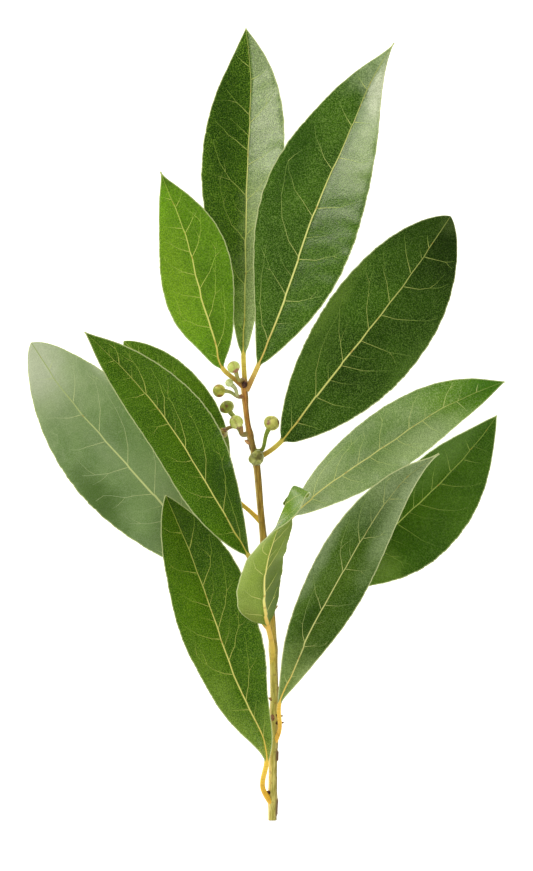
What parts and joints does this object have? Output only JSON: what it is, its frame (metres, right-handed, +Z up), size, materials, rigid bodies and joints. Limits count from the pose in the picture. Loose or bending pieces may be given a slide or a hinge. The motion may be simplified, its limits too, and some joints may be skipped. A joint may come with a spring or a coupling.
{
  "type": "bay leaf branch",
  "caption": "Cut bay laurel twig with pointed leathery leaves on short stalks and round flower buds in the leaf axils, lying flat on a surface.",
  "frame": {"origin": "centre of the bounding box at its lowest point, on the surface the branch lies on", "axes": "+Z up from the surface, +Y along the stem from its cut end to the tip of the top leaf, +X to the right of the stem seen from above"},
  "size_m": [0.1321, 0.2201, 0.0388],
  "materials": {
    "bark": "matte",
    "leaf_top_middle": "satin",
    "leaf_top_right": "satin",
    "leaf_top_left": "satin",
    "leaf_right_upper": "satin",
    "leaf_right_middle": "satin",
    "leaf_right_back": "satin",
    "leaf_right_lower": "satin",
    "leaf_left_lower": "satin",
    "leaf_front_curled": "satin",
    "leaf_left_front": "satin",
    "leaf_left_behind": "satin",
    "leaf_left_outer": "satin",
    "bud_top": "satin",
    "buds_upper_left": "satin",
    "buds_left": "satin",
    "bud_right": "satin",
    "bud_node": "satin"
  },
  "bodies": {
    "root": {"stem": "bark", "leaf_top_middle": "leaf_top_middle", "leaf_top_right": "leaf_top_right", "leaf_top_left": "leaf_top_left", "leaf_right_upper": "leaf_right_upper", "leaf_right_middle": "leaf_right_middle", "leaf_right_back": "leaf_right_back", "leaf_right_lower": "leaf_right_lower", "leaf_left_lower": "leaf_left_lower", "leaf_front_curled": "leaf_front_curled", "leaf_left_front": "leaf_left_front", "leaf_left_behind": "leaf_left_behind", "leaf_left_outer": "leaf_left_outer", "bud_top": "bud_top", "buds_upper_left": "buds_upper_left", "buds_left": "buds_left", "bud_right": "bud_right", "bud_node": "bud_node"}
  },
  "joints": []
}
